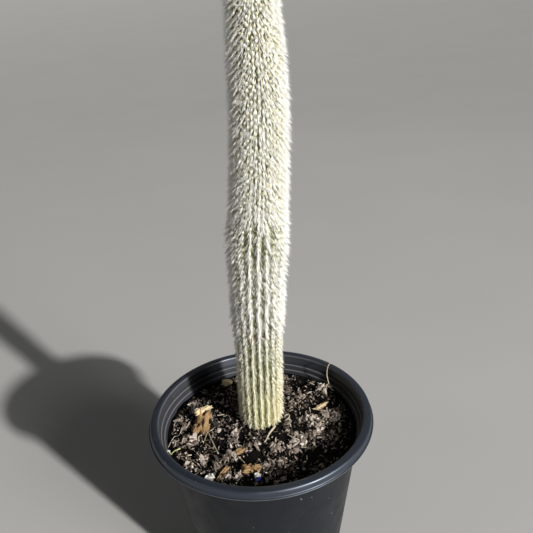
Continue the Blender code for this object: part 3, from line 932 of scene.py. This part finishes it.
litter = {
    # piece, shapes, finish, how many per square metre, smallest and largest size, tilt, lift, seed
    "kinds": (
        ("barkMedium", "shard", "bark", 13000.0, 0.0028, 0.0066, 1.1, 0.16, 200),
        ("barkSmall", "crumb", "bark", 72000.0, 0.0013, 0.0034, 1.5, 0.28, 400),
        ("barkSlivers", "sliver", "bark", 32000.0, 0.0030, 0.0075, 0.9, 0.15, 300),
        ("slivers", "sliver", "straw", 26000.0, 0.0020, 0.0056, 0.9, 0.15, 500),
        ("paleGrains", "crumb", "pale", 14000.0, 0.0008, 0.0020, 1.5, 0.45, 600),
        ("fibres", "fibre", "straw", 5000.0, 0.0050, 0.0150, 0.35, 0.05, 700),
    ),
    # the shapes: how many, seed, radius, ranges of width and thickness, how rough, and its wave
    "shapes": {
        "shard": (14, 35, 0.6, (0.35, 0.75), (0.12, 0.28), 0.45, 2.2),
        "crumb": (10, 32, 0.5, (0.55, 0.9), (0.30, 0.55), 0.42, 2.6),
        "sliver": (8, 34, 0.5, (0.16, 0.30), (0.08, 0.14), 0.30, 2.0),
    },
    "fibreShapes": (6, 33),
    # the finishes: name, dark, middle and light colour, and how strong the dark streaks are
    "finishes": {
        "bark": ("bark", (0.018, 0.014, 0.012), (0.195, 0.150, 0.122), (0.680, 0.590, 0.510), 0.85),
        "tan": ("tanBark", (0.200, 0.110, 0.045), (0.420, 0.270, 0.130), (0.860, 0.690, 0.420), 0.85),
        "pale": ("paleGrain", (0.42, 0.39, 0.34), (0.68, 0.65, 0.58), (0.86, 0.83, 0.76), 0.2),
        "straw": ("straw", (0.16, 0.11, 0.07), (0.36, 0.29, 0.20), (0.62, 0.55, 0.42), 0.3),
        "sprout": ("sprout", (0.22, 0.24, 0.06), (0.42, 0.43, 0.16), (0.60, 0.60, 0.30), 0.2),
        "blue": ("blueFlake", (0.010, 0.020, 0.25), (0.020, 0.040, 0.50), (0.05, 0.08, 0.70), 0.2),
    },
    "clearStem": 0.0192,
    "room": 0.0850,
    # larger chips one by one: finish, x, y, height over the mix, length, width, thickness, heading
    # and tilt in degrees, and how light its colour is
    "placed": (
        ("tan", -0.0555, 0.0050, 0.0050, 0.019, 0.0125, 0.0060, 74.0, -42.0, 0.45),
        # this slim, lightest chip on the plate's top edge is a painted highlight for the plate's lit top
        ("tan", -0.0545, 0.0130, 0.0125, 0.0135, 0.0036, 0.0035, 16.0, -12.0, 1.0),
        ("tan", -0.0595, -0.0030, 0.0045, 0.0085, 0.0060, 0.0045, 50.0, -20.0, 0.35),
        ("tan", -0.0145, -0.0585, 0.0020, 0.0080, 0.0075, 0.0040, 10.0, 12.0, 0.45),
        ("tan", -0.0065, -0.0575, 0.0018, 0.0065, 0.0065, 0.0035, 60.0, 20.0, 0.60),
        ("tan", 0.0585, 0.0195, 0.0020, 0.0140, 0.0025, 0.0026, 38.0, 8.0, 0.9),
        ("tan", -0.0330, 0.0720, 0.0025, 0.0085, 0.0055, 0.0045, 35.0, 20.0, 0.95),
        ("tan", -0.0356, -0.0590, 0.0022, 0.0125, 0.0028, 0.0024, 55.0, -10.0, 0.6),
        ("tan", -0.0205, -0.0350, 0.0020, 0.0075, 0.0034, 0.0030, 35.0, 10.0, 0.6),
        ("pale", -0.0464, -0.0625, 0.0020, 0.0068, 0.0055, 0.0045, 60.0, 15.0, 0.8),
        ("pale", -0.0065, -0.0655, 0.0036, 0.0045, 0.0035, 0.0032, 10.0, 0.0, 0.9),
        ("blue", -0.0065, -0.0678, 0.0026, 0.0034, 0.0022, 0.0022, 5.0, 0.0, 1.0),
        ("pale", 0.0618, 0.0545, 0.0022, 0.0034, 0.0030, 0.0030, 5.0, 0.0, 0.9),
        ("pale", -0.0842, -0.0275, 0.0020, 0.0030, 0.0024, 0.0022, 5.0, 0.0, 0.9),
    ),
    # heaps of bark chips: x, y, width, depth, height, number of chips, and how light they are
    "heaps": (
        (-0.0675, -0.0155, 0.017, 0.017, 0.007, 24, 0.75), (-0.0720, 0.0050, 0.008, 0.011, 0.005, 8, 0.7),
        (-0.0655, 0.0340, 0.009, 0.017, 0.006, 15, 0.8), (-0.0790, 0.0120, 0.010, 0.007, 0.003, 7, 0.7),
        (-0.0800, -0.0160, 0.007, 0.007, 0.003, 6, 0.75), (-0.0755, -0.0330, 0.008, 0.007, 0.003, 7, 0.6),
        (-0.0650, -0.0470, 0.009, 0.011, 0.005, 12, 0.8), (-0.0545, -0.0400, 0.010, 0.014, 0.005, 14, 0.7),
        (-0.0405, -0.0486, 0.010, 0.011, 0.004, 10, 0.45), (-0.0325, -0.0630, 0.007, 0.005, 0.004, 6, 0.75),
        (-0.0230, -0.0630, 0.008, 0.006, 0.004, 7, 0.65), (-0.0260, -0.0080, 0.012, 0.018, 0.005, 17, 0.75),
        (-0.0275, -0.0190, 0.010, 0.010, 0.004, 9, 0.65), (-0.0290, -0.0400, 0.011, 0.013, 0.004, 13, 0.65),
        (-0.0090, -0.0315, 0.013, 0.013, 0.004, 14, 0.65), (0.0360, 0.0360, 0.010, 0.013, 0.005, 12, 0.6),
        (0.0405, 0.0000, 0.010, 0.009, 0.005, 11, 0.75), (0.0490, 0.0020, 0.009, 0.009, 0.004, 8, 0.7),
        (0.0240, -0.0055, 0.009, 0.009, 0.003, 8, 0.7), (0.0525, -0.0110, 0.007, 0.013, 0.005, 10, 0.85),
        (0.0330, -0.0250, 0.013, 0.015, 0.005, 18, 0.75), (0.0440, -0.0195, 0.011, 0.009, 0.005, 10, 0.7),
        (0.0660, 0.0020, 0.013, 0.010, 0.005, 14, 0.9), (0.0590, 0.0070, 0.011, 0.010, 0.004, 8, 0.7),
        (0.0490, -0.0070, 0.008, 0.011, 0.004, 8, 0.8), (0.0100, -0.0335, 0.014, 0.009, 0.004, 12, 0.8),
        (0.0250, -0.0345, 0.011, 0.013, 0.004, 12, 0.7), (0.0080, -0.0485, 0.006, 0.006, 0.003, 4, 0.8),
        (0.0150, -0.0500, 0.008, 0.007, 0.004, 6, 0.75), (0.0005, -0.0545, 0.007, 0.006, 0.003, 5, 0.75),
        (0.0630, 0.0480, 0.010, 0.015, 0.006, 12, 0.7), (0.0300, 0.0420, 0.012, 0.017, 0.004, 12, 0.5),
        (0.0300, 0.0250, 0.009, 0.009, 0.003, 7, 0.5),
    ),
    "chipSize": (0.0030, 0.0070),
    "heapTilt": 1.2,
    "heapFill": 1.5,
    "heapSeed": 90,
    "strawLightness": 0.8,
}

# thin things one by one, as points of x, y and height above the mix, with the radius at each end
straws = (
    ("straw", ((-0.0525, -0.0165, 0.0012), (-0.0497, -0.0052, 0.0018)), 0.0003, 0.0004),
    ("straw", ((-0.0497, -0.0052, 0.0018), (-0.0455, -0.0190, 0.0020), (-0.0397, -0.0350, 0.0010)),
     0.0003, 0.0006),
    ("straw", ((0.0010, -0.0270, 0.0010), (0.0030, -0.0245, 0.0018), (0.0065, -0.0190, 0.0030),
               (0.0120, -0.0110, 0.0036)), 0.0003, 0.0011),
    ("straw", ((0.0725, 0.0490, -0.0010), (0.0700, 0.0505, 0.0080), (0.0690, 0.0525, 0.0160),
               (0.0705, 0.0545, 0.0235), (0.0735, 0.0555, 0.0270)), 0.0006, 0.0004),
    ("straw", ((0.0665, 0.0450, 0.0010), (0.0690, 0.0500, 0.0050), (0.0740, 0.0480, 0.0020)),
     0.0006, 0.0004),
    ("straw", ((-0.0850, -0.0200, 0.0010), (-0.0810, -0.0090, 0.0030), (-0.0765, -0.0050, 0.0028),
               (-0.0730, 0.0030, 0.0040)), 0.0003, 0.0004),
    ("straw", ((0.0490, 0.0130, 0.0030), (0.0560, 0.0110, 0.0040), (0.0640, 0.0060, 0.0030)),
     0.0004, 0.0003),
    ("straw", ((-0.0280, -0.0400, 0.0020), (-0.0220, -0.0415, 0.0030), (-0.0165, -0.0470, 0.0010)),
     0.0003, 0.0003),
    ("straw", ((0.0230, -0.0190, 0.0020), (0.0250, -0.0230, 0.0035), (0.0290, -0.0250, 0.0010)),
     0.0004, 0.0004),
    ("straw", ((0.0225, -0.0015, 0.0030), (0.0255, -0.0005, 0.0034), (0.0262, 0.0028, 0.0036),
               (0.0238, 0.0040, 0.0036), (0.0218, 0.0022, 0.0034)), 0.0006, 0.0005),
    ("straw", ((0.0640, 0.0490, 0.0030), (0.0690, 0.0470, 0.0045), (0.0740, 0.0440, 0.0010)),
     0.0004, 0.0006),
    ("sprout", ((-0.0815, -0.0300, 0.0010), (-0.0790, -0.0284, 0.0030), (-0.0760, -0.0276, 0.0034),
                (-0.0735, -0.0262, 0.0030)), 0.0003, 0.0008),
    ("sprout", ((-0.0815, -0.0300, 0.0010), (-0.0825, -0.0288, 0.0018), (-0.0835, -0.0280, 0.0020)),
     0.0003, 0.0006),
)


def roughen(bm, seed, stretch, rough, wave):
    # pulls a shape out of round, and keeps its own place as "grain" for the material
    layer = bm.verts.layers.float_vector.new("grain")
    shift = Vector((seed * 7.3, seed * 3.1, seed * 1.7))
    for vert in bm.verts:
        place = vert.co.copy()
        push = noise.noise_vector(place * wave + shift) * rough
        push += noise.noise_vector(place * wave * 2.7 + shift) * rough * 0.4
        vert.co = Vector([c * s for c, s in zip(place + push, stretch)])
        vert[layer] = vert.co + shift


def chipShape(name, rng, radius, width, thickness, rough, wave):
    bm = bmesh.new()
    bmesh.ops.create_icosphere(bm, subdivisions=1, radius=radius)
    roughen(bm, rng.uniform(0, 90), (1.0, rng.uniform(*width), rng.uniform(*thickness)), rough, wave)
    mesh = meshFrom(name, bm)
    mesh.shade_flat()
    return mesh


def fibreShape(name, rng):
    steps = 5
    bend = Vector((0, rng.uniform(-0.5, 0.5), rng.uniform(0.0, 0.16)))
    path = [Vector((k / steps - 0.5, 0, 0)) + bend * (0.25 - (k / steps - 0.5) ** 2)
            for k in range(steps + 1)]
    width = rng.uniform(0.010, 0.026)
    bm = bmesh.new()
    addTube(bm, path, width, width * 0.4, 4)
    return meshFrom(name, bm)


def addTube(bm, path, first, last, sides):
    # a thin round body along a list of points, closed at its ends, with the radius at each end
    layer = bm.verts.layers.float_vector.get("grain") or bm.verts.layers.float_vector.new("grain")
    loops = []
    for k, here in enumerate(path):
        ahead = (path[min(k + 1, len(path) - 1)] - path[max(k - 1, 0)]).normalized()
        side = ahead.cross(Vector((0.13, 0.05, 1.0))).normalized()
        other = ahead.cross(side)
        radius = first + (last - first) * k / (len(path) - 1)
        loops.append([])
        for i in range(sides):
            angle = fullTurn * i / sides
            out = side * math.cos(angle) + other * math.sin(angle)
            vert = bm.verts.new(here + out * radius)
            vert[layer] = Vector((k * 0.3, out.x * 0.2, out.y * 0.2))
            loops[-1].append(vert)
    addSides(bm, loops)
    bm.faces.new(loops[0])
    bm.faces.new(loops[-1])


def shapeCollection(kind, maker, count, seed, *form):
    rng = random.Random(seed)
    group = bpy.data.collections.new(kind)
    for k in range(count):
        name = f"{kind}{k}"
        group.objects.link(bpy.data.objects.new(name, maker(name, rng, *form)))
    return group


def litterTree(geometry, density, smallest, largest, tilt, lift, seed, shapes, finish, stemPlace,
               clear, room):
    place = position(geometry)
    scattered = wire("GeometryNodeDistributePointsOnFaces", {
        "Mesh": geometry, "Seed": seed,
        "Density": density * ease(grain(place, 60.0), 0.38, 0.60, 0.2, 1.6)}, "Points")
    size = smallest + (largest - smallest) * draw(0.0, 1.0, seed + 1) ** 1.8
    flat = vec("MULTIPLY", place, (1.0, 1.0, 0.0))
    inside = calc("LESS_THAN", vec("LENGTH", flat) + size * 0.5, room)
    outside = calc("GREATER_THAN", vec("DISTANCE", flat, stemPlace) - size * 0.5, clear)
    thinned = wire("GeometryNodeDeleteGeometry", {
        "Geometry": scattered, "Selection": 1 - inside * outside}, domain="POINT")
    return strewn(shifted(thinned, joined(0.0, 0.0, size * lift)), size, draw(0.0, 1.0, seed + 5),
                  shapes, tilt, seed, finish)


def heapTree(geometry, shapes, tilt, seed, finish):
    # chips on points that hold their own size and lightness
    return strewn(pointsOf(geometry), reading(geometry, "size"), reading(geometry, "lightness"),
                  shapes, tilt, seed, finish)


def strewn(points, size, tint, shapes, tilt, seed, finish):
    # copies of the shapes on the points, turned at random
    angles = joined(draw(-1.0, 1.0, seed + 2) * tilt, draw(-1.0, 1.0, seed + 3) * tilt,
                    draw(0.0, fullTurn, seed + 4))
    several = wire("GeometryNodeCollectionInfo", {
        "Collection": shapes, "Separate Children": True, "Reset Children": True})
    return copied(points, several, wire("FunctionNodeEulerToRotation", {0: angles}), size, tint, finish,
                  pick=True)


def heapPoints():
    rng = random.Random(litter["heapSeed"])
    smallest, largest = litter["chipSize"]
    spots = []
    for x, y, width, depth, height, count, lightness in litter["heaps"]:
        for _ in range(round(count * litter["heapFill"])):
            angle = rng.uniform(0, fullTurn)
            out = math.sqrt(rng.random())
            size = smallest + (largest - smallest) * rng.random() ** 1.4
            px = x + math.cos(angle) * out * width / 2
            py = y + math.sin(angle) * out * depth / 2
            onStem = math.hypot(px - stemFoot.x, py - stemFoot.y) < litter["clearStem"] + size / 2
            if onStem or math.hypot(px, py) > litter["room"] - size / 2:
                continue
            up = size * 0.15 + height * (1.0 - out * out) * rng.random()
            spots.append({"place": onMix(px, py, up), "size": size,
                          "lightness": min(max(rng.gauss(lightness, 0.18), 0.0), 1.0)})
    return pointMesh("barkHeaps", spots)


def litterFinish(name, dark, middle, light, streaks):
    material, _ = newFinish(name)
    where = attribute(material, "grain", "Vector")
    base = colours(attribute(material, "tint"), (0.0, dark), (0.6, middle), (1.0, light))
    streak = grain(where, 5.0, 5.0, 0.7, stretch=(1.0, 3.0, 6.0))
    crack = tuple(c * 0.12 for c in dark)
    tone = mixed(ease(streak, 0.36, 0.56, streaks, 0.0), base, crack)
    return painted(material, tone, 0.85, 0.25, streak, 0.8, 0.0012)


def mixTop():
    # the top of the mix alone, for the litter to lie on
    bm = bmesh.new()
    steps = 60
    across = [mix["edge"] * (2 * i / steps - 1) for i in range(steps + 1)]
    grid = [[bm.verts.new((x, y, mixHeight(x, y, 0.5))) for y in across] for x in across]
    for row, following in zip(grid, grid[1:]):
        for j in range(steps):
            bm.faces.new((row[j], following[j], following[j + 1], row[j + 1]))
    return meshFrom("mixTop", bm, outwards=False)


def placedChip(k, x, y, lift, length, width, thickness, heading, tilt, tint):
    bm = bmesh.new()
    bmesh.ops.create_cube(bm, size=1.0)
    bmesh.ops.subdivide_edges(bm, edges=bm.edges[:], cuts=7, use_grid_fill=True)
    roughen(bm, 11.0 + k, (1.0, 1.0, 1.0), 0.34, 2.4)
    size = Matrix.Diagonal((length, width, thickness, 1.0))
    angles = [math.radians(angle) for angle in (tilt / 2, tilt, heading)]
    bm.transform(Matrix.Translation(onMix(x, y, lift)) @ Euler(angles).to_matrix().to_4x4() @ size)
    shade(bm, tint)
    return meshFrom(f"chip{k}", bm)


def shade(bm, tint):
    layer = bm.verts.layers.float.new("tint")
    for vert in bm.verts:
        vert[layer] = tint


def addPlaced(finishes):
    for finish in ("tan", "pale", "blue", "straw", "sprout"):
        bm = bmesh.new()
        for k, (kind, *values) in enumerate(litter["placed"]):
            if kind == finish:
                bm.from_mesh(placedChip(k, *values))
        for kind, points, first, last in straws:
            if kind == finish:
                addTube(bm, smoothPath([onMix(*point) for point in points]), first, last, 8)
        if not bm.verts.layers.float.get("tint"):
            shade(bm, litter["strawLightness"])
        name = f"{finish}Placed"
        seat(addPiece(name, meshFrom(name, bm), finishes[finish]), "potting_mix")


def smoothPath(points, steps=6):
    # a smooth curve through a few points
    path = []
    for k in range(len(points) - 1):
        start = (points[k + 1] - points[max(k - 1, 0)]) / 2
        end = (points[min(k + 2, len(points) - 1)] - points[k]) / 2
        path += [curved(i / steps, points[k], points[k + 1], start, end) for i in range(steps)]
    return path + [points[-1]]


def addMix():
    seat(addPiece("pottingMix", mixMesh(), peatAndGapShadeFinish()), "potting_mix", "soil")
    shapes = {kind: shapeCollection(kind, chipShape, *form) for kind, form in litter["shapes"].items()}
    shapes["fibre"] = shapeCollection("fibre", fibreShape, *litter["fibreShapes"])
    finishes = {label: litterFinish(*values) for label, values in litter["finishes"].items()}
    labels = ("density", "smallest", "largest", "tilt", "lift", "seed")
    for name, kind, finish, *numbers in litter["kinds"]:
        piece = grown(name, mixTop(), litterTree, {
            **dict(zip(labels, numbers)), "shapes": shapes[kind], "finish": finishes[finish],
            "stemPlace": (stemFoot.x, stemFoot.y, 0.0), "clear": litter["clearStem"],
            "room": litter["room"]})
        seat(piece, "potting_mix")
    piece = grown("barkHeaps", heapPoints(), heapTree, {
        "shapes": shapes["shard"], "tilt": litter["heapTilt"], "finish": finishes["bark"],
        "seed": litter["heapSeed"]})
    seat(piece, "potting_mix")
    for group in shapes.values():
        discard(*group.objects)
        bpy.data.collections.remove(group)
    addPlaced(finishes)


# Camera, lights and floor

stage = {
    "cameraPlace": (0.0, -0.4477, rimHeight + 0.34865),
    "pitch": 24.57,                 # degrees below level
    "yaw": -1.697,
    "roll": -3.374,
    "lens": 40.525,
    "target": (0.0, 0.0, 0.32),
    "key": {"side": 41.5, "rise": 23.5, "angle": 2.5, "strength": 5.6, "colour": (1.0, 0.98, 0.95)},
    # weak large lights: name, degrees to the right of -Y and above level, distance, size, watts
    "fills": (
        ("fill", -66.0, 32.0, 1.8, 0.35, 2.0),
        ("side", 45.0, 25.0, 1.8, 0.7, 17.0),
        ("back", 165.0, 30.0, 2.0, 1.4, 1.2),
    ),
    "world": (0.90, 0.93, 0.97),
    "worldStrength": 0.045,
    "view": "Standard",
    "floorRadius": 1.5,
    "coveRadius": 30.0,
    "coveHeight": 5.5,
    "floorColour": (0.41, 0.405, 0.396),
}


def addCamera():
    camera = addPiece("camera", bpy.data.cameras.new("camera"))
    camera.data.lens = stage["lens"]
    camera.data.sensor_width = 36.0
    camera.data.clip_start = 0.01
    turn = (Matrix.Rotation(math.radians(stage["yaw"]), 4, "Z")
            @ Matrix.Rotation(math.radians(90 - stage["pitch"]), 4, "X")
            @ Matrix.Rotation(math.radians(stage["roll"]), 4, "Z"))
    camera.matrix_world = Matrix.Translation(stage["cameraPlace"]) @ turn
    bpy.context.scene.camera = camera


def addLight(name, kind, side, rise, distance):
    data = bpy.data.lights.new(name, kind)
    light = addPiece(name, data)
    side, rise = math.radians(side), math.radians(rise)
    level = math.cos(rise)
    heading = Vector((math.sin(side) * level, -math.cos(side) * level, math.sin(rise)))
    light.location = Vector(stage["target"]) + heading * distance
    light.rotation_euler = heading.to_track_quat("Z", "Y").to_euler()
    return data


def addLights():
    key = addLight("key", "SUN", stage["key"]["side"], stage["key"]["rise"], 2.0)
    key.energy = stage["key"]["strength"]
    key.angle = math.radians(stage["key"]["angle"])
    key.color = stage["key"]["colour"]
    for name, side, rise, distance, size, watts in stage["fills"]:
        fill = addLight(name, "AREA", side, rise, distance)
        fill.shape = "DISK"
        fill.size = size
        fill.energy = watts
    world = bpy.data.worlds.new("studio")
    bpy.context.scene.world = world
    world.use_nodes = True
    background = world.node_tree.nodes["Background"]
    background.inputs["Color"].default_value = (*stage["world"], 1.0)
    background.inputs["Strength"].default_value = stage["worldStrength"]
    bpy.context.scene.view_settings.view_transform = stage["view"]


def addFloor():
    # a flat floor that rises slowly further out, so that no view shows its edge
    radius = stage["floorRadius"]
    wide = stage["coveRadius"] - radius
    steps = 24
    line = [Vector((radius * i / 4, 0.0)) for i in range(4)]
    line += [Vector((radius + wide * i / steps, stage["coveHeight"] * (i / steps) ** 2))
             for i in range(steps + 1)]
    bm = bmesh.new()
    bm.from_mesh(turned("floor", line, 96))
    if bm.faces[:][0].normal.z < 0:
        bmesh.ops.reverse_faces(bm, faces=bm.faces)
    material, place = newFinish("paper")
    shadow = tuple(c * 0.97 for c in stage["floorColour"])
    painted(material, colours(grain(place, 3.0, 3.0), (0.3, shadow), (0.7, stage["floorColour"])), 0.9, 0.1)
    addPiece("floor", meshFrom("floor", bm, outwards=False), material)


addCamera()
addPot()
addStem()
spots = allAreoles()
print(f"{len(spots)} areoles")
addWool(spots)
addBristles(spots)
addMix()
addLights()
addFloor()
print("scene built")
